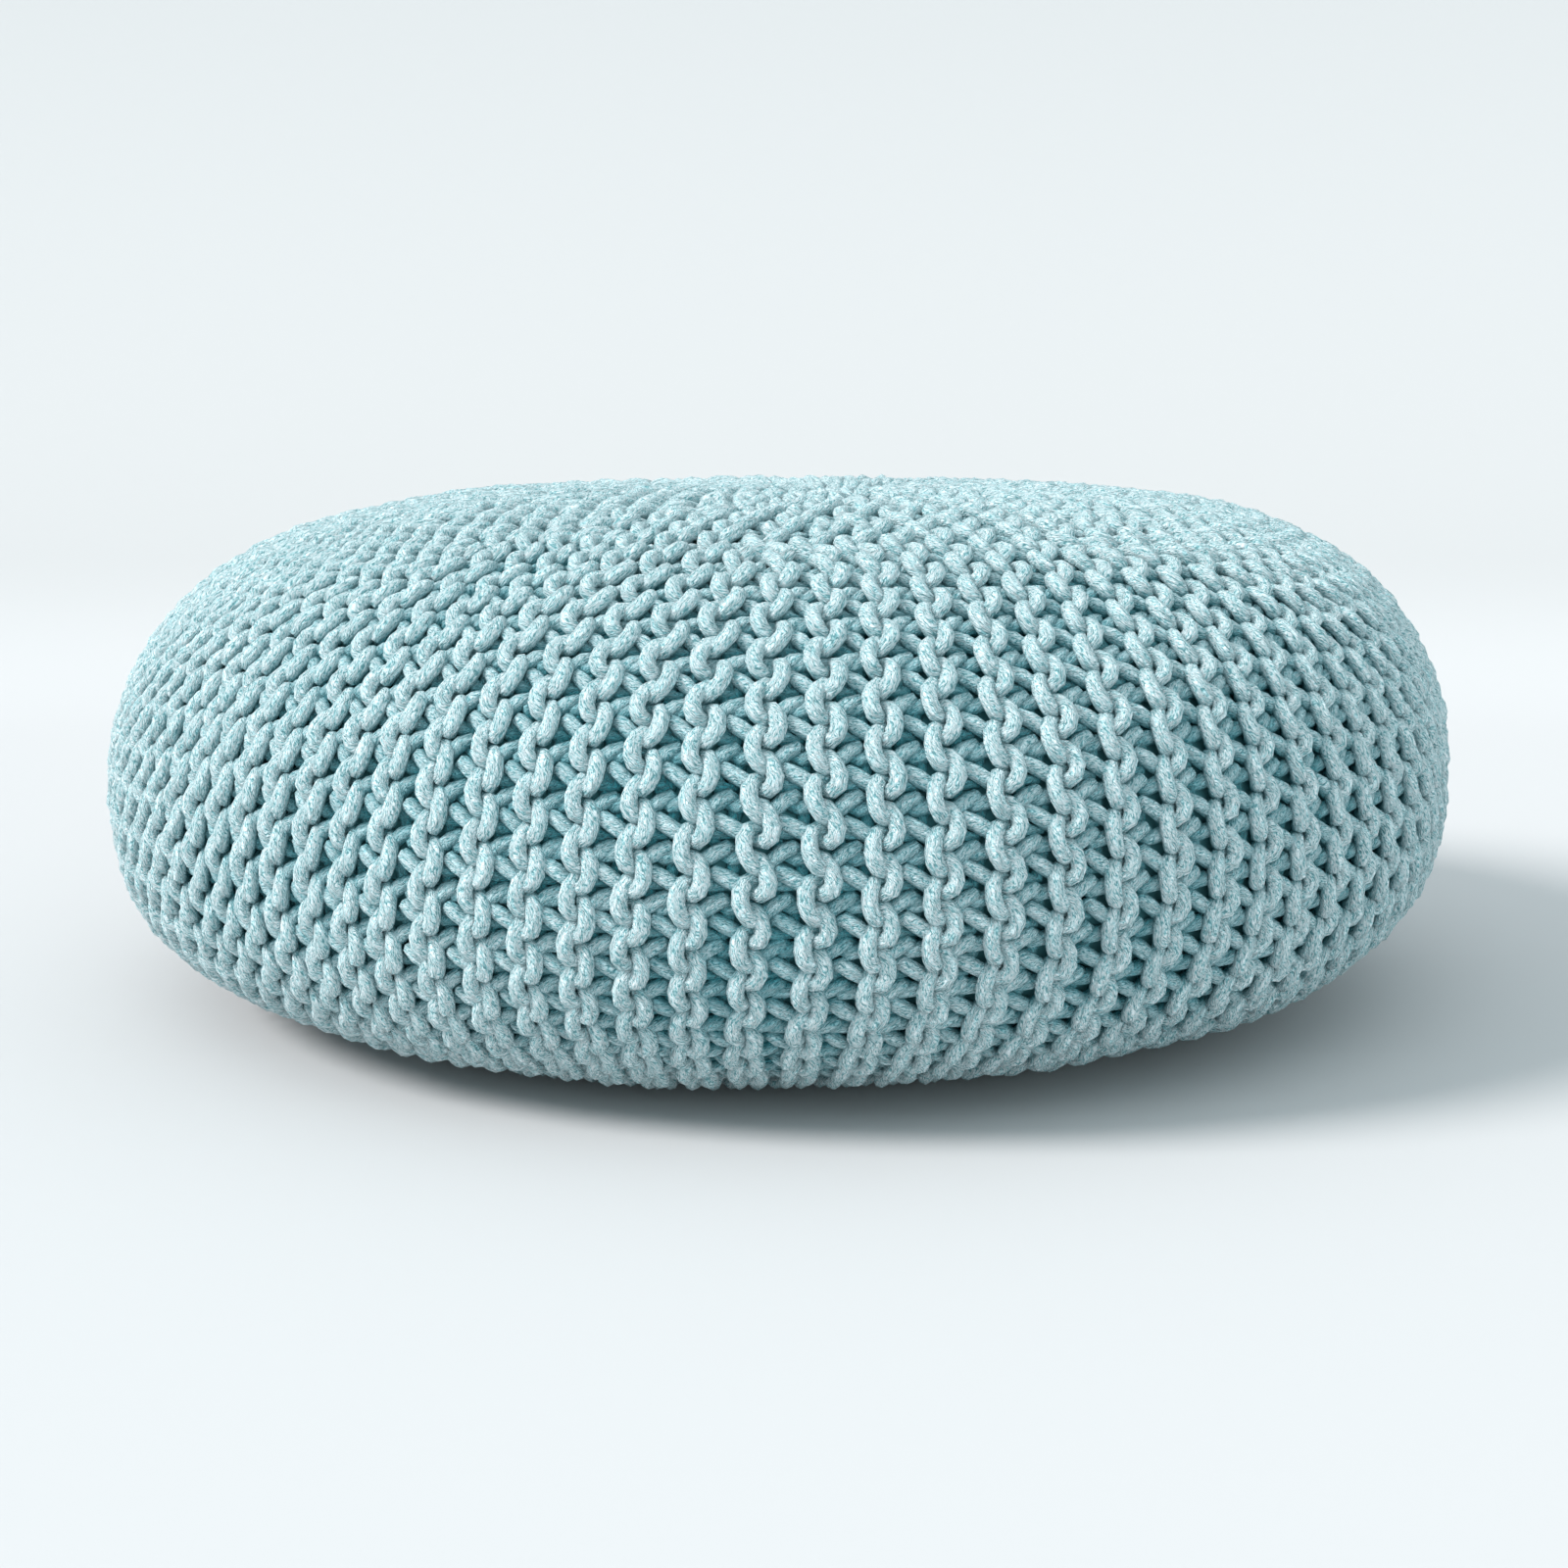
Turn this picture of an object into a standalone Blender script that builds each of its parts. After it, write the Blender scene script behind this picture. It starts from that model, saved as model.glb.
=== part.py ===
"""A flat, round floor cushion in a thick garter-stitch cover, as one filled solid.

The cover is knitted sideways: its ridges run from a gather point on the crown, over the
side, to a gather point underneath. Units are metres, +Z is up, and the origin is the centre
of the footprint on the floor.
"""
import math

import bmesh
import bpy
from mathutils import Vector

# The filled shape.
BODY_RADIUS = 0.400          # widest half width, over the ridges
CROWN_RISE = 0.170           # from the widest level up to the crown
BELLY_DROP = 0.131           # from the widest level down to the floor
CROWN_FLATNESS = 4.5         # a higher value keeps the crown level further out
CROWN_SHOULDER = 2.1         # a higher value gives a squarer shoulder
BELLY_FLATNESS = 6.3
BELLY_SHOULDER = 2.1
LEAN = 0.037                 # sideways slump, for each metre of height
CROWN_TILT = 0.02            # how much more the crown rises at one side than in the middle
FOOT_RADIUS = 0.185          # the level patch that rests on the floor

# Where the cover is drawn together.
CROWN_GATHER = Vector((0.034, 0.026))
BELLY_GATHER = Vector((-0.012, 0.010))
DIMPLE_DEPTH = 0.004
DIMPLE_RADIUS = 0.030

# The knitted ridges.
RIDGE_COUNT = 88
RIDGE_DEPTH = 0.009          # from the crest of a ridge down to the cord between two ridges
ROW_PITCH = 0.0232           # one stitch along a ridge
GORE = 8                     # ridges in one gore, from which all but one end early
FADE = 0.16                  # share of the radius over which a ridge narrows to nothing

# How far from the gather point a ridge ends, as a share of the radius. Each row gives the
# places in a gore that it applies to.
RIDGE_ENDS = (
    {"places": (1, 5), "end": 0.71},
    {"places": (3, 7), "end": 0.62},
    {"places": (2,), "end": 0.39},
    {"places": (6,), "end": 0.32},
    {"places": (4,), "end": 0.20},
)

# How many ridges the mesh carries beyond a share of the radius.
RIDGE_BANDS = (
    {"beyond": 0.57, "ridges": RIDGE_COUNT},
    {"beyond": 0.26, "ridges": RIDGE_COUNT // 2},
    {"beyond": 0.13, "ridges": RIDGE_COUNT // 4},
    {"beyond": 0.00, "ridges": RIDGE_COUNT // 8},
)
POLE_SHARE = 0.035           # share of the radius inside which the ridges have run out
RELIEF_RUN = 0.10            # share of the radius over which the ridges rise to full depth

PROFILE_STEPS = 2000
CORD_COLOUR = (0.42, 0.68, 0.70, 1.0)
CORD_ROUGHNESS = 0.9
CREST_SHADING = math.radians(40.0)   # an edge that turns further than this shows as a crease


def clear_scene():
    """Remove whatever the file holds."""
    for item in list(bpy.data.objects):
        bpy.data.objects.remove(item, do_unlink=True)


def smooth_step(value):
    """Ease from 0 to 1."""
    value = min(max(value, 0.0), 1.0)
    return value * value * (3.0 - 2.0 * value)


def crown_height(share):
    """Height over the widest level at a share of the radius."""
    return CROWN_RISE * (1.0 - min(share, 1.0) ** CROWN_FLATNESS) ** (1.0 / CROWN_SHOULDER)


def belly_height(share):
    """Height, below zero, under the widest level at a share of the radius."""
    return -BELLY_DROP * (1.0 - min(share, 1.0) ** BELLY_FLATNESS) ** (1.0 / BELLY_SHOULDER)


def half_profile(height_of):
    """Evenly spaced stations down one half of the outline, from its gather point outward.

    Each station is the share of the radius at which it lies.
    """
    outline = []
    for step in range(PROFILE_STEPS + 1):
        share = math.sin(0.5 * math.pi * step / PROFILE_STEPS)
        outline.append(Vector((BODY_RADIUS * share, height_of(share))))
    run = [0.0]
    for before, after in zip(outline, outline[1:]):
        run.append(run[-1] + (after - before).length)
    count = round(run[-1] / ROW_PITCH)
    shares = []
    place = 0
    for station in range(count + 1):
        target = run[-1] * station / count
        while place < PROFILE_STEPS and run[place] < target:
            place += 1
        shares.append(outline[place].x / BODY_RADIUS)
    return shares


def ridge_end(ridge):
    """Share of the radius at which this ridge ends, or 0 for one that reaches the gather."""
    for row in RIDGE_ENDS:
        if ridge % GORE in row["places"]:
            return row["end"]
    return 0.0


def ridge_width(ridge, share):
    """How much of a full ridge is left at this share of the radius."""
    end = ridge_end(ridge)
    if end == 0.0:
        return 1.0
    return smooth_step((share - end) / FADE + 0.5)


def ridge_angles(share):
    """Bearings of every ridge's crest and of the valley after it."""
    widths = [max(ridge_width(ridge, share), 0.02) for ridge in range(RIDGE_COUNT)]
    turn = 2.0 * math.pi / sum(widths)
    crests = []
    valleys = []
    done = -0.5 * widths[0]
    for width in widths:
        crests.append((done + 0.5 * width) * turn)
        done += width
        valleys.append(done * turn)
    return crests, valleys


def ridges_at(share):
    """How many ridges the mesh carries here."""
    for band in RIDGE_BANDS:
        if share >= band["beyond"]:
            return band["ridges"]
    return RIDGE_BANDS[-1]["ridges"]


def skin_point(share, bearing, height_of, gather):
    """A point of the filled shape, over the ridges' crests."""
    pull = (1.0 - share * share) ** 2
    flat = Vector((math.cos(bearing), math.sin(bearing))) * (share * BODY_RADIUS) + gather * pull
    reach = min(flat.length / BODY_RADIUS, 1.0)
    height = height_of(reach)
    if height_of is crown_height:
        height *= 1.0 + CROWN_TILT * flat.x / BODY_RADIUS
        off_gather = (flat - gather).length / DIMPLE_RADIUS
        height -= DIMPLE_DEPTH * math.exp(-off_gather * off_gather)
    return Vector((flat.x + LEAN * height, flat.y, height))


def skin_normal(share, bearing, height_of, gather):
    """Outward direction of the filled shape, from two short steps along it."""
    step = 0.004
    inner = skin_point(max(share - step, 0.0), bearing, height_of, gather)
    outer = skin_point(min(share + step, 1.0), bearing, height_of, gather)
    before = skin_point(share, bearing - step, height_of, gather)
    after = skin_point(share, bearing + step, height_of, gather)
    normal = (outer - inner).cross(after - before).normalized()
    return normal if height_of is crown_height else -normal


def ring_points(share, height_of, gather):
    """One ring round the shape: crest, valley, crest, valley."""
    ridges = ridges_at(share)
    skip = RIDGE_COUNT // ridges
    crests, valleys = ridge_angles(share)
    plain_share = POLE_SHARE if height_of is crown_height else FOOT_RADIUS / BODY_RADIUS
    relief = RIDGE_DEPTH * smooth_step((share - plain_share) / RELIEF_RUN)
    points = []
    for ridge in range(ridges):
        crest = crests[ridge * skip]
        following = crests[((ridge + 1) * skip) % RIDGE_COUNT]
        if following < crest:
            following += 2.0 * math.pi
        valley = valleys[ridge] if skip == 1 else 0.5 * (crest + following)
        sunk = relief * (1.0 - ridge_width(ridge * skip, share))
        for bearing, depth in ((crest, sunk), (valley, relief)):
            high = skin_point(share, bearing, height_of, gather)
            points.append(high - skin_normal(share, bearing, height_of, gather) * depth)
    return points


def flatten_foot(point, share):
    """Bring the rest patch level."""
    if share <= FOOT_RADIUS / BODY_RADIUS:
        point.z = -BELLY_DROP
    return point


def join_rings(mesh, upper, lower):
    """Bridge two rings with as many points, or twice as many in one of them."""
    if len(upper) == len(lower):
        for place in range(len(upper)):
            after = (place + 1) % len(upper)
            mesh.faces.new((upper[place], lower[place], lower[after]))
            mesh.faces.new((upper[place], lower[after], upper[after]))
        return
    flipped = len(upper) > len(lower)
    few, many = (lower, upper) if flipped else (upper, lower)
    for place in range(len(few)):
        after = (place + 1) % len(few)
        first = many[2 * place]
        middle = many[2 * place + 1]
        last = many[(2 * place + 2) % len(many)]
        for corners in ((few[place], first, middle), (few[place], middle, few[after]),
                        (few[after], middle, last)):
            mesh.faces.new(reversed(corners) if flipped else corners)


def build_cover():
    """The whole cover as one closed mesh, from the crown's gather to the underside's."""
    mesh = bmesh.new()
    crown_shares = [share for share in half_profile(crown_height) if share >= POLE_SHARE]
    belly_shares = [share for share in half_profile(belly_height) if share >= POLE_SHARE]
    rings = []
    for share in crown_shares:
        points = ring_points(share, crown_height, CROWN_GATHER)
        rings.append([mesh.verts.new(point) for point in points])
    for share in reversed(belly_shares[:-1]):
        points = ring_points(share, belly_height, BELLY_GATHER)
        rings.append([mesh.verts.new(flatten_foot(point, share)) for point in points])
    for upper, lower in zip(rings, rings[1:]):
        join_rings(mesh, upper, lower)
    crown = mesh.verts.new(skin_point(0.0, 0.0, crown_height, CROWN_GATHER))
    belly = mesh.verts.new(flatten_foot(skin_point(0.0, 0.0, belly_height, BELLY_GATHER), 0.0))
    for ring, pole in ((rings[0], crown), (rings[-1], belly)):
        for place in range(len(ring)):
            corners = (pole, ring[place], ring[(place + 1) % len(ring)])
            mesh.faces.new(corners if pole is crown else reversed(corners))
    return mesh


def stand_on_floor(mesh):
    """Move the mesh so that the footprint's centre on the floor is the origin."""
    lows = [min(vert.co[axis] for vert in mesh.verts) for axis in range(3)]
    highs = [max(vert.co[axis] for vert in mesh.verts) for axis in range(3)]
    offset = Vector((-0.5 * (lows[0] + highs[0]), -0.5 * (lows[1] + highs[1]), -lows[2]))
    bmesh.ops.translate(mesh, verts=mesh.verts, vec=offset)


def cord_material():
    """Matt cotton cord in a pale blue-green."""
    material = bpy.data.materials.new("cotton_cord")
    material.use_nodes = True
    shader = material.node_tree.nodes["Principled BSDF"]
    shader.inputs["Base Color"].default_value = CORD_COLOUR
    shader.inputs["Roughness"].default_value = CORD_ROUGHNESS
    shader.inputs["Metallic"].default_value = 0.0
    material.diffuse_color = CORD_COLOUR
    return material


def main():
    clear_scene()
    mesh = build_cover()
    stand_on_floor(mesh)
    data = bpy.data.meshes.new("pouf_cover")
    mesh.to_mesh(data)
    mesh.free()
    data.materials.append(cord_material())
    data.shade_smooth()
    data.set_sharp_from_angle(angle=CREST_SHADING)
    cover = bpy.data.objects.new("pouf_cover", data)
    bpy.context.scene.collection.objects.link(cover)


main()
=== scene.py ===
import math

import bpy
import numpy as np
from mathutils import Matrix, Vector


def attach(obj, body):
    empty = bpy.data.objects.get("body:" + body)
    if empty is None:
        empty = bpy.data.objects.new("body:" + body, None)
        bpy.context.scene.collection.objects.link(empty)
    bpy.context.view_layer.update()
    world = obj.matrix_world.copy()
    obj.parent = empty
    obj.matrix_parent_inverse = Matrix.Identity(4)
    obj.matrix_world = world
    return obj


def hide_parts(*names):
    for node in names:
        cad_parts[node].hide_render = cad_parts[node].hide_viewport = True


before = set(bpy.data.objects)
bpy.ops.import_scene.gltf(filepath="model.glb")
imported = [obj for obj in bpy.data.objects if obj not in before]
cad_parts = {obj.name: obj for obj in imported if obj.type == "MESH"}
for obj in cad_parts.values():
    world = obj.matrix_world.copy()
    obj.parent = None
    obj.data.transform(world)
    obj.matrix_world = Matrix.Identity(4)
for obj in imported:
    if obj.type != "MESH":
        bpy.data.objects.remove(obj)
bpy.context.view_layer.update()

millimetre = 0.001
fullTurn = 2.0 * math.pi
tiny = 1e-12                         # keeps a division or a logarithm clear of zero


def addObject(name, data):
    made = bpy.data.objects.new(name, data)
    bpy.context.scene.collection.objects.link(made)
    return made


camera = {
    "place": (0.0, -1.4817, 0.3646),
    "aim": (0.0, 0.0, 0.131),        # middle of the pouf, at its widest level
    "lens": 55.8,
    "sensor": 36.0,
    "shift": (0.0037, -0.0149),
    "reach": 30.0,                   # how far it sees, past the corners of the floor
}


def makeCamera():
    data = bpy.data.cameras.new("studioCamera")
    data.sensor_width = camera["sensor"]
    data.lens = camera["lens"]
    data.shift_x, data.shift_y = camera["shift"]
    data.clip_end = camera["reach"]
    made = addObject("studioCamera", data)
    made.location = camera["place"]
    towards = Vector(camera["aim"]) - Vector(camera["place"])
    made.rotation_euler = towards.to_track_quat("-Z", "Y").to_euler()
    bpy.context.scene.camera = made


makeCamera()
print("Camera placed")


# The filled shape, in the sizes of the solid that the cord replaces.
body = {
    "radius": 0.400,
    "crownRise": 0.170,              # above the widest level
    "bellyDrop": 0.131,              # below it, down to the floor
    "crownFlatness": 4.5,            # a higher value keeps the crown level further out
    "crownShoulder": 2.1,            # a higher value gives a squarer shoulder
    "bellyFlatness": 6.3,
    "bellyShoulder": 2.1,
    "lean": 0.037,                   # sideways slump, for each metre of height
    "crownTilt": 0.02,               # how much more the crown rises at one side
    "crownGather": (0.034, 0.026),
    "bellyGather": (-0.012, 0.010),
    "dimpleDepth": 0.004,
    "dimpleRadius": 0.030,
    "outlineSteps": 8000,
}


# How much of its full height the shape has, where inside is 1 at the middle axis and 0 at the
# rim. It is 1 less a power of the reach, in a form that stays exact near the rim.
def fullness(inside, flatness, shoulder):
    inside = np.clip(inside, 0.0, 1.0 - tiny)
    return (-np.expm1(0.5 * flatness * np.log1p(-inside))) ** (1.0 / shoulder)


def crownHeight(inside):
    return body["crownRise"] * fullness(inside, body["crownFlatness"], body["crownShoulder"])


def bellyHeight(inside):
    return -body["bellyDrop"] * fullness(inside, body["bellyFlatness"], body["bellyShoulder"])


# How far the skin is from its middle axis, which sets how much room each ridge has.
def skinReach(turn):
    return body["radius"] * np.sin(turn)


# turn runs from 0 at the crown's gather, over a quarter circle at the widest level, to a half
# circle at the gather underneath. bearing runs round the pouf, counter-clockwise from +X.
def skinPoints(turn, bearing):
    onCrown = turn < 0.5 * np.pi
    share = np.sin(turn)
    level = np.cos(turn) ** 2
    pull = level * level             # how much of the gather's own shift applies here
    radius = body["radius"]
    gatherX = np.where(onCrown, body["crownGather"][0], body["bellyGather"][0])
    gatherY = np.where(onCrown, body["crownGather"][1], body["bellyGather"][1])
    flatX = np.cos(bearing) * share * radius + gatherX * pull
    flatY = np.sin(bearing) * share * radius + gatherY * pull
    # inside is 1 less the square of the reach, as a share of the radius
    towards = (np.cos(bearing) * gatherX + np.sin(bearing) * gatherY) / radius
    away = (gatherX ** 2 + gatherY ** 2) / radius ** 2
    inside = level - 2.0 * share * pull * towards - pull ** 2 * away
    height = np.where(onCrown, crownHeight(inside), bellyHeight(inside))
    offGather = ((flatX - gatherX) ** 2 + (flatY - gatherY) ** 2) / body["dimpleRadius"] ** 2
    tilt = 1.0 + body["crownTilt"] * flatX / radius
    height = np.where(onCrown, height * tilt - body["dimpleDepth"] * np.exp(-offGather), height)
    return np.stack([flatX + body["lean"] * height, flatY, height], axis=-1)


def unit(vectors):
    return vectors / np.maximum(np.linalg.norm(vectors, axis=-1, keepdims=True), tiny)


def skinNormals(turn, bearing):
    step = 0.002
    down = skinPoints(turn + step, bearing) - skinPoints(turn - step, bearing)
    across = skinPoints(turn, bearing + step) - skinPoints(turn, bearing - step)
    return unit(np.cross(down, across))


# How far it is along the skin from the crown's gather to each turn, on the even outline.
turnTable = np.linspace(0.0, np.pi, body["outlineSteps"] + 1)
levelTable = np.cos(turnTable) ** 2
outlineHeight = np.where(turnTable < 0.5 * np.pi, crownHeight(levelTable), bellyHeight(levelTable))
outlineGaps = np.hypot(np.diff(skinReach(turnTable)), np.diff(outlineHeight))
runTable = np.concatenate([[0.0], np.cumsum(outlineGaps)])
meridian = runTable[-1]
waist = np.interp(0.5 * np.pi, turnTable, runTable)


def turnAt(run):
    return np.interp(run, runTable, turnTable)


# The solid was moved so that its footprint's middle is the origin, and so is the cord.
def footprintShift():
    sideTurns = np.linspace(0.3, 2.9, 200)                   # all but the two gathers
    bearings = np.linspace(0.0, fullTurn, 361)               # a degree apart
    x, y, _ = np.moveaxis(skinPoints(*np.meshgrid(sideTurns, bearings)), -1, 0)
    return np.array([-0.5 * (x.min() + x.max()), -0.5 * (y.min() + y.max()), body["bellyDrop"]])


standing = footprintShift()
print("Skin measured: %.3f m from gather to gather" % meridian)


knit = {
    "ridges": 88,
    "gore": 8,                       # ridges in one gore, from which all but one end early
    "pitch": 0.0245,                 # one stitch along a ridge
    "spacing": 0.0286,               # from one full ridge to the next
    "cord": 0.0084,                  # diameter
    "thinning": 0.13,                # how much the cord is squeezed behind the front loops
    "thinFrom": 0.3,                 # out, in cord diameters, where that starts
    "thinRun": 0.6,                  # and over how much it grows
    "loopHalf": 0.0086,              # half the width of the front loops
    "fade": 0.07,                    # share of the radius over which a ridge narrows to nothing
    "leastWidth": 0.02,              # share of a ridge's width that is left past its end
    "gatherShare": 0.036,            # where the last ridges are drawn in
    "gatherRun": 0.045,              # over this much of the skin the cord is drawn thinner
    "gatherCord": 0.62,              # and this much of it is left at the gather
    "gatherClear": 0.004,            # no cord comes nearer the gather than this
    "phase": -0.30,                  # share of a stitch by which all the loops slide down
    "tuckPast": 0.006,               # so far past its end a row is all tucked in
    "tuckRun": 0.010,                # and it starts to be so much further back
    "tuckDepth": 0.006,              # it ends so far below its own level
    "tuckNarrow": 0.4,               # and so much narrower
    "coverDepth": 2.5,               # thickness of the whole cover, in cord diameters
    "floorGap": 0.0003,              # the lowest cord is pressed flat so far over the floor
    "runSteps": 1600,
    "seed": 11,
}

# Share of the radius at which the ridges in each place of a gore end.
ridgeEnds = (
    {"place": 1, "end": 0.72},
    {"place": 5, "end": 0.65},
    {"place": 3, "end": 0.57},
    {"place": 7, "end": 0.49},
    {"place": 2, "end": 0.37},
    {"place": 6, "end": 0.25},
    {"place": 4, "end": 0.13},
)

# Slow swings in how closely the ridges lie, round the pouf, in degrees.
bearingStart = 3.0
bearingSwings = (
    {"times": 1, "size": 3.2, "from": -42.0},
    {"times": 2, "size": 1.6, "from": 99.0},
    {"times": 3, "size": 1.1, "from": -125.0},
)

# One stitch of each row of a ridge, from the upper end of its front loop, round the loop, and
# by its lower leg to the back loop behind the next ridge. Each point lies so far across and
# down the ridge, in millimetres, and so far out, in cord diameters.
stitchPaths = {
    "knit": (
        (-0.4, -9.7, -0.12), (3.8, -6.6, 0.36), (5.4, -0.8, 0.66), (4.8, 4.6, 0.76),
        (1.6, 8.5, 0.50), (-2.8, 8.0, -0.06), (-6.6, 5.6, 0.06), (-10.2, 3.2, 0.18),
        (-17.6, -1.6, 0.04), (-21.3, 0.6, -0.30), (-22.2, 6.9, -0.58), (-20.5, 14.8, -0.50),
        (-15.5, 17.1, -0.20), (-8.0, 15.0, 0.02),
    ),
    "purl": (
        (0.8, -9.7, -0.04), (-3.4, -6.6, 0.42), (-5.4, -0.8, 0.70), (-5.0, 4.8, 0.80),
        (-2.8, 8.9, 0.56), (1.4, 8.8, -0.04), (6.2, 4.6, 0.06), (16.6, -0.6, -0.10),
        (20.8, 2.2, -0.54), (21.8, 7.9, -0.78), (20.0, 14.3, -0.70), (15.0, 18.6, -0.44),
        (8.5, 18.0, -0.24),
    ),
}
stitchDrop = {"knit": 0.0, "purl": 0.5}      # share of a stitch by which the row's loops lie lower

# How closely the points lie along a stitch. Heights out are in cord diameters.
yarnMesh = {
    "sides": 8,
    "stepsAbove": 14,                # points along one stitch
    "stepsBelow": 8,                 # the same underneath, where the pouf stands
    "below": 0.70,                   # share of the meridian past which that starts
    "frontShare": 1.6,               # how much closer they lie on the front loops
    "frontFrom": -0.1,               # how far out the front loops start
    "seenFrom": -0.65,               # how far out the cord comes into sight
    "rise": 0.3,                     # the height over which either of the two comes in
    "bendShare": 0.007,              # how much closer they lie in a bend, as a length
    "backShare": 0.30,               # how closely they lie at the very back
    "chordPower": 0.75,              # how much the points' distances shape the curve, from 0 to 1
    "fineSteps": 2000,
}

uneven = {
    "tilt": 0.09,                    # slope of a stitch across its ridge
    "sideways": 1.1 * millimetre,
    "outward": 0.7 * millimetre,
    "along": 1.0 * millimetre,
    "reach": 0.08,                   # share by which a stitch is wider or narrower
    "thickness": 0.03,               # share by which the cord swells and thins
    "swell": 150.0,                  # how fast it does so, in radians a metre
    "lumps": 0.035,                  # roughness of the cord's own outline
    "ridgeStrands": 0.37,            # how much further along its strands each ridge starts
    "knitStrands": 0.11,             # and each knit row after that
}


def smoothStep(value):
    value = np.clip(value, 0.0, 1.0)
    return value * value * (3.0 - 2.0 * value)


def endOf(ridge):
    for row in ridgeEnds:
        if ridge % knit["gore"] == row["place"]:
            return row["end"]
    return 0.0


# Each ridge's bearing and width at evenly spaced runs down the skin.
runSteps = np.linspace(0.0, meridian, knit["runSteps"])
shareSteps = np.sin(turnAt(runSteps))
ridgeEndShares = np.array([endOf(ridge) for ridge in range(knit["ridges"])])
ridgeWidths = np.where(
    ridgeEndShares[:, None] == 0.0, 1.0,
    smoothStep((shareSteps[None, :] - ridgeEndShares[:, None]) / knit["fade"] + 0.5))
ridgeWidths = np.maximum(ridgeWidths, knit["leastWidth"])
widthTurn = fullTurn / ridgeWidths.sum(axis=0)
ridgeMiddles = (np.cumsum(ridgeWidths, axis=0) - 0.5 * ridgeWidths - 0.5 * ridgeWidths[0]) * widthTurn


# The even bearings of the ridges, moved round to where they lie more or less closely.
def swing(bearing):
    moved = bearing + math.radians(bearingStart)
    for row in bearingSwings:
        moved += math.radians(row["size"]) * np.sin(row["times"] * bearing + math.radians(row["from"]))
    return moved


randomness = np.random.default_rng(knit["seed"])
stitchesDown = math.ceil(meridian / knit["pitch"]) + 3       # with a few to spare


# One random value for each stitch, blended with half of each neighbour's.
def unevenField():
    rough = randomness.normal(size=(knit["ridges"], stitchesDown))
    soft = rough + 0.5 * (np.roll(rough, 1, axis=0) + np.roll(rough, -1, axis=0))
    soft[:, 1:-1] += 0.5 * (soft[:, :-2] + soft[:, 2:])
    return soft / soft.std()


fields = {name: unevenField() for name in ("sideways", "outward", "along", "reach", "tilt")}


# loops counts the stitches down the ridge, with the part of a stitch that is already done.
def fieldAt(name, ridge, loops):
    return np.interp(loops, np.arange(stitchesDown), fields[name][ridge]) * uneven[name]


toMetres = np.array([1.0, 1.0, knit["cord"]])        # for a place that has its height in diameters


# A smooth curve through a stitch's points, which runs on evenly into the next stitch. Its
# places are across and down in metres, and out in cord diameters.
def smoothStitch(rows):
    points = np.array(rows)
    points[:, :2] *= millimetre
    count = len(points)
    points = np.vstack([points, points[:1] + np.array([0.0, knit["pitch"], 0.0])])
    gaps = np.linalg.norm(np.diff(points, axis=0) * toMetres, axis=1) ** yarnMesh["chordPower"]
    knots = np.concatenate([[0.0], np.cumsum(gaps)])
    rates = np.diff(points, axis=0) / gaps[:, None]
    system = np.zeros((count, count))
    right = np.zeros((count, 3))
    for row in range(count):
        before = row - 1
        system[row, before] += gaps[row]
        system[row, row] += 2.0 * (gaps[before] + gaps[row])
        system[row, (row + 1) % count] += gaps[before]
        right[row] = 3.0 * (gaps[before] * rates[row] + gaps[row] * rates[before])
    slopes = np.linalg.solve(system, right)
    slopes = np.vstack([slopes, slopes[:1]])
    fine = np.linspace(0.0, knots[-1], yarnMesh["fineSteps"] + 1)
    piece = np.clip(np.searchsorted(knots, fine, side="right") - 1, 0, count - 1)
    part = ((fine - knots[piece]) / gaps[piece])[:, None]
    gap = gaps[piece][:, None]
    return ((2.0 * part ** 3 - 3.0 * part ** 2 + 1.0) * points[piece]
            + (part ** 3 - 2.0 * part ** 2 + part) * gap * slopes[piece]
            + (3.0 * part ** 2 - 2.0 * part ** 3) * points[piece + 1]
            + (part ** 3 - part ** 2) * gap * slopes[piece + 1])


# Picks so many places of a stitch's curve, closer together where it shows and where it bends.
def stitchPlaces(rows, steps):
    curve = smoothStitch(rows)
    out = curve[:, 2]
    first = np.gradient(curve * toMetres, axis=0)
    second = np.gradient(first, axis=0)
    speed = np.linalg.norm(first, axis=1)
    bend = np.linalg.norm(np.cross(first, second), axis=1) / speed ** 3
    onFront = np.clip((out - yarnMesh["frontFrom"]) / yarnMesh["rise"], 0.0, 1.0)
    seen = np.clip((out - yarnMesh["seenFrom"]) / yarnMesh["rise"], 0.0, 1.0)
    weight = 1.0 + yarnMesh["bendShare"] * bend
    weight = weight * (1.0 + (yarnMesh["frontShare"] - 1.0) * onFront)
    weight = yarnMesh["backShare"] + weight * seen
    measure = np.concatenate([[0.0], np.cumsum(speed[1:] * weight[1:])])
    fine = np.arange(len(curve))
    places = np.interp(np.arange(steps) * measure[-1] / steps, measure, fine)
    return np.stack([np.interp(places, fine, curve[:, axis]) for axis in range(3)], axis=1)


stitchCurves = {(kind, steps): stitchPlaces(path, yarnMesh[steps])
                for kind, path in stitchPaths.items() for steps in ("stepsAbove", "stepsBelow")}

# The outermost side of the cord, in diameters, which touches the skin.
stitchTop = max(row[2] for path in stitchPaths.values() for row in path) + 0.5


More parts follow.
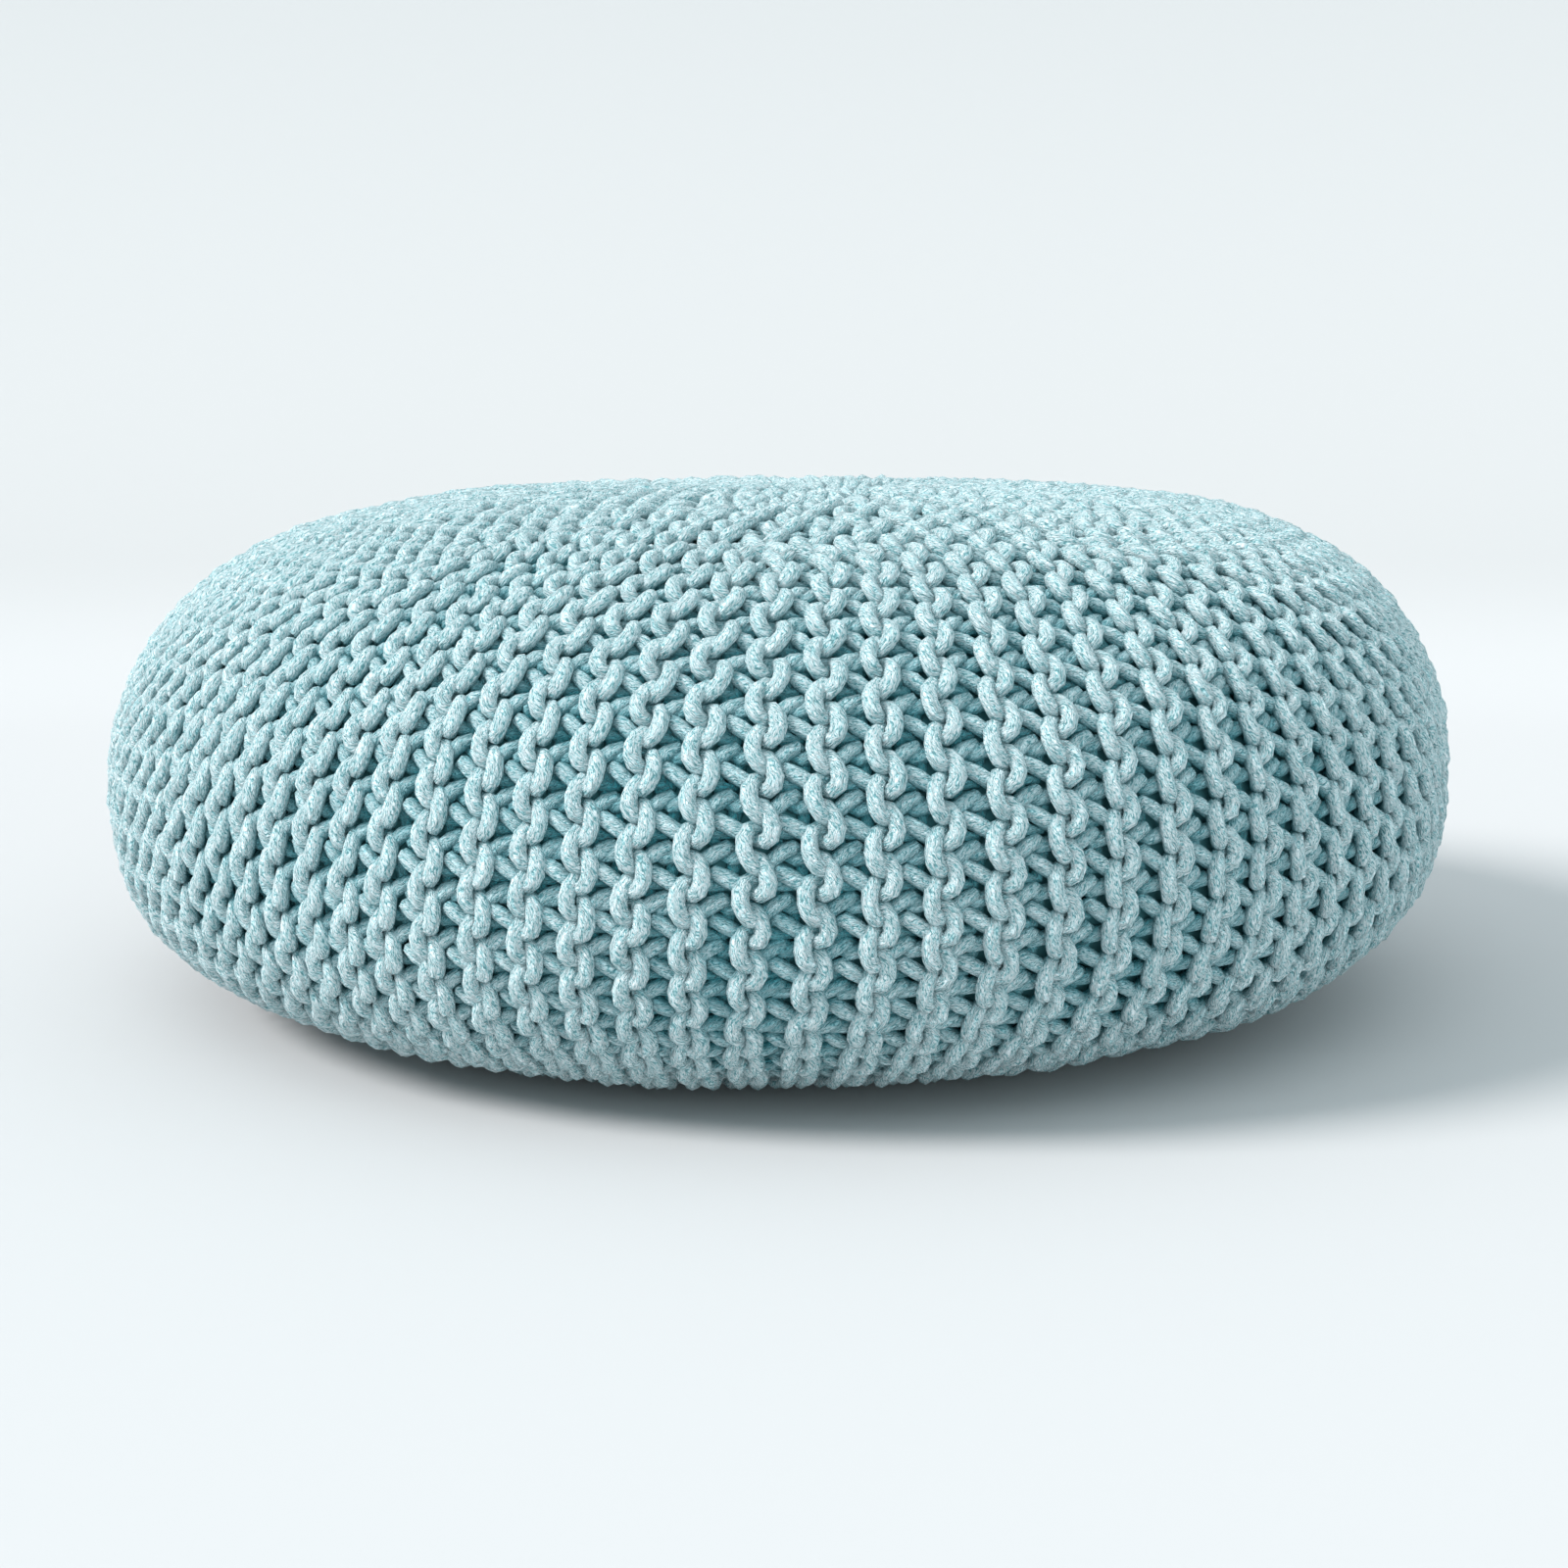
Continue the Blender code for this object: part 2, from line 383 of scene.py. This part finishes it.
# The middle line of one row, from a first to a last run down the skin: how far along and
# across it lies, how far out of the skin, and how much of the cord is squeezed.
def rowLine(ridge, kind, first, last):
    pitch = knit["pitch"]
    start = math.floor(first / pitch)
    edge = max(math.floor(yarnMesh["below"] * meridian / pitch), start)
    stop = math.ceil(last / pitch)
    parts = []
    for begin, end, steps in ((start, min(edge, stop), "stepsAbove"), (edge, stop, "stepsBelow")):
        if end <= begin:
            continue
        curve = stitchCurves[kind, steps]
        number = np.repeat(np.arange(begin, end), len(curve))
        part = np.tile(curve, (end - begin, 1))
        share = np.tile(np.arange(len(curve)) / len(curve), end - begin)
        parts.append(np.column_stack([part, number, share]))
    across, down, out, number, share = np.concatenate(parts).T
    loops = number + share
    along = down + pitch * (number + stitchDrop[kind] + knit["phase"]) + fieldAt("along", ridge, loops)
    across = across * (1.0 + fieldAt("reach", ridge, loops)) + fieldAt("sideways", ridge, loops)
    across = across + down * fieldAt("tilt", ridge, loops)
    squeeze = knit["thinning"] * np.clip((knit["thinFrom"] - out) / knit["thinRun"], 0.0, 1.0)
    out = knit["cord"] * (out - stitchTop) + fieldAt("outward", ridge, loops)
    return along, across, out, squeeze


# Where a ridge starts and stops, as runs down the skin.
def ridgeSpan(ridge):
    end = max(ridgeEndShares[ridge], knit["gatherShare"])
    onCrown = runSteps < waist
    first = np.interp(end, shareSteps[onCrown], runSteps[onCrown])
    last = np.interp(-end, -shareSteps[~onCrown], runSteps[~onCrown])
    return first, last


# Puts a row's line on the skin, and gives the outward direction at each of its points. Where a
# ridge is narrow, the stretches between the loops close up first, and then the loops.
def onSkin(ridge, along, across, out):
    along = np.clip(along, knit["gatherClear"], meridian - knit["gatherClear"])
    turn = turnAt(along)
    middle = np.interp(along, runSteps, ridgeMiddles[ridge])
    width = np.interp(along, runSteps, ridgeWidths[ridge] * widthTurn)
    reach = skinReach(turn)
    half = knit["loopHalf"]
    room = 0.5 * width * reach
    loop = np.clip(across, -half, half)
    squeezed = np.minimum(room / half, 1.0)
    slack = np.maximum(room - half * squeezed, 0.0) / (0.5 * knit["spacing"] - half)
    bearing = swing(middle + (loop * squeezed + (across - loop) * slack) / reach)
    normal = skinNormals(turn, bearing)
    return skinPoints(turn, bearing) + normal * out[:, None] + standing, normal


# Rings of points round a line, and each point's mark: the cosine and sine of its place round
# the cord, where 1 and 0 is outward, and its length along the cord.
def tubeRings(line, normal, radius, sides):
    direction = unit(np.gradient(line, axis=0))
    sideways = unit(np.cross(direction, normal))
    outward = np.cross(sideways, direction)
    turns = np.arange(sides) * fullTurn / sides
    spoke = (np.cos(turns)[None, :, None] * outward[:, None]
             + np.sin(turns)[None, :, None] * sideways[:, None])
    lumps = 1.0 + uneven["lumps"] * randomness.normal(size=(len(line), sides))
    rings = line[:, None] + (radius[:, None] * lumps)[..., None] * spoke
    lengths = np.concatenate([[0.0], np.cumsum(np.linalg.norm(np.diff(line, axis=0), axis=1))])
    marks = np.stack(np.broadcast_arrays(
        np.cos(turns)[None, :], np.sin(turns)[None, :], lengths[:, None]), axis=-1)
    return rings, marks


# The quads between a tube's rings, and the triangles from its end rings to its two tips, which
# are numbered after the rings.
def tubeFaces(rings, sides, base):
    ring = np.arange(rings - 1)[:, None] * sides + base
    place = np.arange(sides)
    after = (place + 1) % sides
    quads = np.stack([ring + place, ring + after, ring + sides + after, ring + sides + place], axis=-1)
    tip = base + rings * sides
    lastRing = tip - sides
    ends = np.concatenate([
        np.stack([np.full(sides, tip), base + after, base + place], axis=-1),
        np.stack([np.full(sides, tip + 1), lastRing + place, lastRing + after], axis=-1)])
    return quads.reshape(-1, 4), ends


# the cord's material reads the marks, and each point's depth for its painted shade; the inner face has
# neither.
def makeMesh(name, points, quads, triangles, material, marks=None, shadeDepths=None):
    data = bpy.data.meshes.new(name)
    data.vertices.add(len(points))
    data.vertices.foreach_set("co", points.astype(np.float32).ravel())
    corners = np.concatenate([quads.ravel(), triangles.ravel()]).astype(np.int32)
    starts = np.concatenate([np.arange(len(quads)) * 4,
                             len(quads) * 4 + np.arange(len(triangles)) * 3]).astype(np.int32)
    data.loops.add(len(corners))
    data.loops.foreach_set("vertex_index", corners)
    data.polygons.add(len(starts))
    data.polygons.foreach_set("loop_start", starts)
    data.polygons.foreach_set("use_smooth", np.ones(len(starts), dtype=bool))
    if marks is not None:
        layer = data.attributes.new("cordPlace", "FLOAT_VECTOR", "POINT")
        layer.data.foreach_set("vector", marks.astype(np.float32).ravel())
        layer = data.attributes.new("cordShadeDepth", "FLOAT", "POINT")
        layer.data.foreach_set("value", shadeDepths.astype(np.float32))
    data.update(calc_edges=True)
    data.validate()
    data.materials.append(material)
    return addObject(name, data)


# One row as a closed tube: its points, their marks and how far down in the cover each lies, which
# sets the cord's painted shade. The two tips come last.
def rowTube(ridge, kind):
    first, last = ridgeSpan(ridge)
    along, across, out, squeeze = rowLine(ridge, kind, first, last)
    fromEnd = np.minimum(along - first, last - along)
    tuck = 1.0 - smoothStep((fromEnd + knit["tuckPast"]) / knit["tuckRun"])
    out = out - knit["tuckDepth"] * tuck
    across = across * (1.0 - knit["tuckNarrow"] * tuck)
    line, normal = onSkin(ridge, along, across, out)
    swelling = np.sin(uneven["swell"] * along + ridge)
    radius = 0.5 * knit["cord"] * (1.0 + uneven["thickness"] * swelling) * (1.0 - squeeze)
    drawn = smoothStep(np.minimum(along, meridian - along) / knit["gatherRun"])
    radius = radius * (knit["gatherCord"] + (1.0 - knit["gatherCord"]) * drawn)
    rings, marks = tubeRings(line, normal, radius, yarnMesh["sides"])
    # how far down in the cover each point lies, for the cord's painted shade
    below = -out[:, None] - radius[:, None] * marks[..., 0]
    marks[..., 2] += uneven["ridgeStrands"] * ridge + uneven["knitStrands"] * (kind == "knit")
    marks = marks.reshape(-1, 3)
    tips = [0, -1]
    points = np.concatenate([rings.reshape(-1, 3), line[tips]])
    marks = np.concatenate([marks, marks[tips]])
    shadeDepths = np.concatenate([below.ravel(), -out[tips]]) / (knit["coverDepth"] * knit["cord"])
    return points, marks, np.clip(shadeDepths, 0.0, 1.0)


# The rows of one gore, joined into one piece.
def makeGore(number, material):
    ridges = range(number * knit["gore"], (number + 1) * knit["gore"])
    tubes = [rowTube(ridge, kind) for ridge in ridges for kind in ("knit", "purl")]
    quads, triangles = [], []
    base = 0
    for rowPoints, _, _ in tubes:
        rings = (len(rowPoints) - 2) // yarnMesh["sides"]
        rowQuads, rowEnds = tubeFaces(rings, yarnMesh["sides"], base)
        quads.append(rowQuads)
        triangles.append(rowEnds)
        base += len(rowPoints)
    points, marks, shadeDepths = (np.concatenate(part) for part in zip(*tubes))
    points[:, 2] = np.maximum(points[:, 2], knit["floorGap"])
    return makeMesh("cord_gore_%02d" % (number + 1), points, np.concatenate(quads),
                    np.concatenate(triangles), material, marks, shadeDepths)


# Links or sets a node's inputs, by their names or their places.
def setInputs(tree, node, inputs):
    for name, value in inputs.items():
        if isinstance(value, bpy.types.NodeSocket):
            tree.links.new(value, node.inputs[name])
        else:
            node.inputs[name].default_value = value


def addNode(tree, kind, inputs=None, **settings):
    node = tree.nodes.new(kind)
    for name, value in settings.items():
        setattr(node, name, value)
    setInputs(tree, node, inputs or {})
    return node


def mathNode(tree, operation, *values):
    return addNode(tree, "ShaderNodeMath", dict(enumerate(values)), operation=operation).outputs[0]


def mixNode(tree, amount, first, second, blend="MIX"):
    inputs = {0: amount, 6: first, 7: second}        # the places of Factor and of colours A and B
    return addNode(tree, "ShaderNodeMix", inputs, data_type="RGBA", blend_type=blend).outputs[2]


def rampNode(tree, value, low, high, interpolation="SMOOTHSTEP"):
    inputs = {"Value": value, "From Min": low, "From Max": high}
    return addNode(tree, "ShaderNodeMapRange", inputs, interpolation_type=interpolation).outputs[0]


def stretchNode(tree, vector, along):
    inputs = {0: vector, 1: (1.0, 1.0, along)}
    return addNode(tree, "ShaderNodeVectorMath", inputs, operation="MULTIPLY").outputs[0]


def noiseNode(tree, vector, pattern):
    inputs = {
        "Vector": vector,
        "Scale": pattern["scale"],
        "Detail": pattern["detail"],
        "Roughness": pattern["roughness"],
    }
    if "along" in pattern:
        inputs["Vector"] = stretchNode(tree, vector, pattern["along"])
    return addNode(tree, "ShaderNodeTexNoise", inputs).outputs["Fac"]


def newMaterial(name):
    material = bpy.data.materials.new(name)
    material.use_nodes = True
    return material, material.node_tree, material.node_tree.nodes["Principled BSDF"]


# A pattern lies on a cord of radius 1, and along is how long a metre of cord is there. Below
# about 240 it is drawn out along the cord.
strandLook = {
    "wander": {"along": 160.0, "scale": 1.1, "detail": 2.0, "roughness": 0.5},
    "wanderTurn": 1.1,               # how far the wandering turns a strand, in radians
    "bundle": {"along": 86.0, "scale": 7.0},
    "fuzz": {"along": 130.0, "scale": 10.0, "detail": 2.0, "roughness": 0.72},
    "lump": {"along": 70.0, "scale": 2.6, "detail": 1.0, "roughness": 0.5},
    "heightShares": {"apart": -1.1, "lump": 0.9, "pick": 0.25},
    "shadeShares": {"apart": -0.9, "pick": 0.30},
    "shadeRange": (-0.05, 0.40),
    "fleckRange": (0.05, -0.11),     # from no fleck to a full one
}


# Twisted strands with loose fibres, from the place on the cord: Height for the bump, Shade
# from 0 at the bottom of the grooves to 1, which lays out painted shade in the grooves and a painted
# highlight on the tops, and Fleck for painted shade in the few darkest gaps between fibres. Lay is
# the length in which a strand goes once round the cord.
def strandGroup():
    group = bpy.data.node_groups.new("twistedStrands", "ShaderNodeTree")
    for name, way, kind in (("Place", "INPUT", "Vector"), ("Lay", "INPUT", "Float"),
                            ("Height", "OUTPUT", "Float"), ("Shade", "OUTPUT", "Float"),
                            ("Fleck", "OUTPUT", "Float")):
        group.interface.new_socket(name, in_out=way, socket_type="NodeSocket" + kind)
    inside = addNode(group, "NodeGroupInput")
    outside = addNode(group, "NodeGroupOutput")
    split = addNode(group, "ShaderNodeSeparateXYZ", {0: inside.outputs["Place"]})
    around = mathNode(group, "ARCTAN2", split.outputs[1], split.outputs[0])
    perLay = mathNode(group, "DIVIDE", fullTurn, inside.outputs["Lay"])
    twist = mathNode(group, "MULTIPLY_ADD", split.outputs[2], perLay, around)
    # wander keeps the strands from lying too evenly
    wander = noiseNode(group, inside.outputs["Place"], strandLook["wander"])
    shifted = mathNode(group, "MULTIPLY_ADD", wander, strandLook["wanderTurn"], twist)
    turned = addNode(group, "ShaderNodeCombineXYZ", {
        0: mathNode(group, "COSINE", shifted),
        1: mathNode(group, "SINE", shifted),
        2: split.outputs[2],
    }).outputs[0]
    bundles = addNode(group, "ShaderNodeTexVoronoi", {
        "Vector": stretchNode(group, turned, strandLook["bundle"]["along"]),
        "Scale": strandLook["bundle"]["scale"],
    })
    apart = bundles.outputs["Distance"]
    pick = addNode(group, "ShaderNodeSeparateColor", {0: bundles.outputs["Color"]})
    fuzz = noiseNode(group, turned, strandLook["fuzz"])
    lump = noiseNode(group, turned, strandLook["lump"])
    shares = strandLook["heightShares"]
    height = mathNode(group, "MULTIPLY_ADD", apart, shares["apart"], fuzz)
    height = mathNode(group, "MULTIPLY_ADD", lump, shares["lump"], height)
    height = mathNode(group, "MULTIPLY_ADD", pick.outputs[0], shares["pick"], height)
    shares = strandLook["shadeShares"]
    shade = mathNode(group, "MULTIPLY_ADD", apart, shares["apart"], fuzz)
    shade = mathNode(group, "MULTIPLY_ADD", pick.outputs[1], shares["pick"], shade)
    setInputs(group, outside, {
        "Height": height,
        "Shade": rampNode(group, shade, *strandLook["shadeRange"], "LINEAR"),
        "Fleck": rampNode(group, shade, *strandLook["fleckRange"]),
    })
    return group


cordLook = {
    # the pale colour and the darker, bluer colour of the grooves are partly the strands' own random
    # texture and partly painted light: a painted highlight on the strands' tops and painted shade in
    # their grooves, with the darkest gaps as painted shade too
    "colour": (0.785, 0.855, 0.880, 1.0),
    "grooveShade": (0.250, 0.535, 0.575, 1.0),
    "fleckShade": (0.045, 0.150, 0.175, 1.0),
    "fleckShare": 0.62,              # how strongly the flecks darken it
    # painted shade: the cord's colour is multiplied towards this dark teal the further down in the
    # cover it lies
    "deepShade": (0.065, 0.410, 0.465, 1.0),
    "deepShadeFrom": 0.17,                # share of the cover's thickness where the painted shade starts
    "deepShadeTo": 0.57,
    "lay": 0.065,                    # length in which a strand goes once round the cord
    "relief": 0.00090,               # height of the strands
    "roughness": 0.88,
    "specular": 0.2,
    "sheen": 0.30,
    "sheenRoughness": 0.5,
    "sheenTint": (0.75, 0.93, 0.95, 1.0),
}


def cordMaterial(strands):
    material, tree, shader = newMaterial("cottonCord")
    place = addNode(tree, "ShaderNodeAttribute", attribute_name="cordPlace").outputs["Vector"]
    depth = addNode(tree, "ShaderNodeAttribute", attribute_name="cordShadeDepth").outputs["Fac"]
    twisted = addNode(tree, "ShaderNodeGroup", node_tree=strands)
    setInputs(tree, twisted, {"Place": place, "Lay": cordLook["lay"]})
    fleckShade = mathNode(tree, "MULTIPLY", twisted.outputs["Fleck"], cordLook["fleckShare"])
    # painted shade, which grows the further down in the cover the cord lies
    depthShade = rampNode(tree, depth, cordLook["deepShadeFrom"], cordLook["deepShadeTo"])
    # painted highlight on the strands' tops and painted shade in their grooves and darkest gaps, laid
    # out by the strands' random texture
    colour = mixNode(tree, twisted.outputs["Shade"], cordLook["grooveShade"], cordLook["colour"])
    colour = mixNode(tree, fleckShade, colour, cordLook["fleckShade"])
    colour = mixNode(tree, depthShade, colour, cordLook["deepShade"], "MULTIPLY")
    bump = addNode(tree, "ShaderNodeBump", {
        "Height": twisted.outputs["Height"],
        "Strength": 1.0,
        "Distance": cordLook["relief"],
    })
    setInputs(tree, shader, {
        "Base Color": colour,
        "Normal": bump.outputs[0],
        "Roughness": cordLook["roughness"],
        "Specular IOR Level": cordLook["specular"],
        "Sheen Weight": cordLook["sheen"],
        "Sheen Roughness": cordLook["sheenRoughness"],
        "Sheen Tint": cordLook["sheenTint"],
    })
    return material


# the inner face's colours are painted shade: a dark teal in place of the shaded backs of the loops,
# mottled at random
innerShadeLook = {
    "colour": (0.140, 0.440, 0.490, 1.0),
    "dark": (0.084, 0.264, 0.294, 1.0),
    "mottle": {"scale": 160.0, "detail": 2.0, "roughness": 0.5},
    "roughness": 0.95,
    "specular": 0.1,
}


def innerShadeMaterial():
    material, tree, shader = newMaterial("innerShadeFace")
    place = addNode(tree, "ShaderNodeTexCoord").outputs["Object"]
    mottle = noiseNode(tree, place, innerShadeLook["mottle"])
    setInputs(tree, shader, {
        "Base Color": mixNode(tree, mottle, innerShadeLook["dark"], innerShadeLook["colour"]),
        "Roughness": innerShadeLook["roughness"],
        "Specular IOR Level": innerShadeLook["specular"],
    })
    return material


cotton = cordMaterial(strandGroup())
innerShadeCotton = innerShadeMaterial()
print("Materials made")


inner = {
    "depth": 0.0162,                 # below the skin, among the backs of the loops
    "around": 96,
    "down": 40,
}


# The inner face of the cover: a dark sheet of painted shade that shows between the loops, in place of
# the shaded backs of the loops.
def makeInner(material):
    runs = np.linspace(0.0, meridian, inner["down"] + 1)[1:-1]
    bearings = np.arange(inner["around"]) * fullTurn / inner["around"]
    turns, bearings = np.meshgrid(turnAt(runs), bearings, indexing="ij")
    rings = skinPoints(turns, bearings) - inner["depth"] * skinNormals(turns, bearings) + standing
    tips = rings[[0, -1]].mean(axis=1)
    points = np.concatenate([rings.reshape(-1, 3), tips])
    quads, triangles = tubeFaces(len(runs), inner["around"], 0)
    # these rings run the other way round than a cord's, so each face is turned over
    return makeMesh("cover_inner_shade", points, quads[:, [0, 3, 2, 1]], triangles[:, [0, 2, 1]], material)


innerShadeFace = makeInner(innerShadeCotton)
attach(innerShadeFace, "root")
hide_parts("pouf_cover")
print("Inner face made")

triangleCount = 0
for number in range(knit["ridges"] // knit["gore"]):
    gore = makeGore(number, cotton)
    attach(gore, "root")
    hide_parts("pouf_cover")
    triangleCount += sum(len(face.vertices) - 2 for face in gore.data.polygons)
print("Cord knitted: %d triangles" % triangleCount)


studio = {
    "wallDistance": 2.9,             # behind the pouf's middle
    "coveRadius": 1.9,
    "coveSteps": 40,
    "halfWidth": 14.0,
    "front": -14.0,
    "wallTop": 4.0,
    "floor": (0.580, 0.576, 0.582, 1.0),
    "wall": (0.508, 0.506, 0.509, 1.0),
    "wallFrom": 0.14,                # height at which the wall's colour is reached
    "roughness": 0.9,
    "specular": 0.0,
    "sky": (0.81, 0.955, 1.0, 1.0),
    "skyStrength": 0.96,
}

# Each lamp lies so far off that its light falls evenly over the whole floor.
lights = (
    {"name": "key", "from": (-10.4, -3.6, 8.25), "spread": 19.5, "strength": 3.45,
     "colour": (1.0, 0.965, 0.95)},
    {"name": "overhead", "from": (-0.6, -3.0, 4.45), "spread": 40.0, "strength": 0.30,
     "colour": (1.0, 0.98, 0.97)},
    {"name": "fill", "from": (1.2, -3.2, 0.50), "spread": 36.0, "strength": 0.62,
     "colour": (0.80, 0.98, 1.0)},
)


def sweepMaterial():
    material, tree, shader = newMaterial("paleSweep")
    place = addNode(tree, "ShaderNodeTexCoord").outputs["Object"]
    height = addNode(tree, "ShaderNodeSeparateXYZ", {0: place}).outputs[2]
    rising = rampNode(tree, height, 0.0, studio["wallFrom"])
    setInputs(tree, shader, {
        "Base Color": mixNode(tree, rising, studio["floor"], studio["wall"]),
        "Roughness": studio["roughness"],
        "Specular IOR Level": studio["specular"],
    })
    return material


# A floor that curves up into a wall.
def makeSweep():
    profile = [(studio["front"], 0.0)]
    middle = studio["wallDistance"] - studio["coveRadius"]
    for step in range(studio["coveSteps"] + 1):
        angle = 0.5 * math.pi * step / studio["coveSteps"]
        profile.append((middle + studio["coveRadius"] * math.sin(angle),
                        studio["coveRadius"] * (1.0 - math.cos(angle))))
    profile.append((studio["wallDistance"], studio["wallTop"]))
    wide = studio["halfWidth"]
    points = [(side * wide, y, z) for y, z in profile for side in (-1, 1)]
    faces = [(2 * n, 2 * n + 1, 2 * n + 3, 2 * n + 2) for n in range(len(profile) - 1)]
    data = bpy.data.meshes.new("studioSweep")
    data.from_pydata(points, [], faces)
    data.shade_smooth()
    data.materials.append(sweepMaterial())
    sweep = addObject("studioSweep", data)


def makeLight(row):
    data = bpy.data.lights.new(row["name"], "SUN")
    data.angle = math.radians(row["spread"])
    data.energy = row["strength"]
    data.color = row["colour"]
    made = addObject(row["name"], data)
    made.location = row["from"]
    made.rotation_euler = Vector(row["from"]).to_track_quat("Z", "Y").to_euler()


def makeSky():
    world = bpy.data.worlds.new("studioSky")
    world.use_nodes = True
    setInputs(world.node_tree, world.node_tree.nodes["Background"], {
        "Color": studio["sky"],
        "Strength": studio["skyStrength"],
    })
    bpy.context.scene.world = world


makeSweep()
for row in lights:
    makeLight(row)
makeSky()
bpy.context.scene.view_settings.view_transform = "Standard"
print("Studio lit")
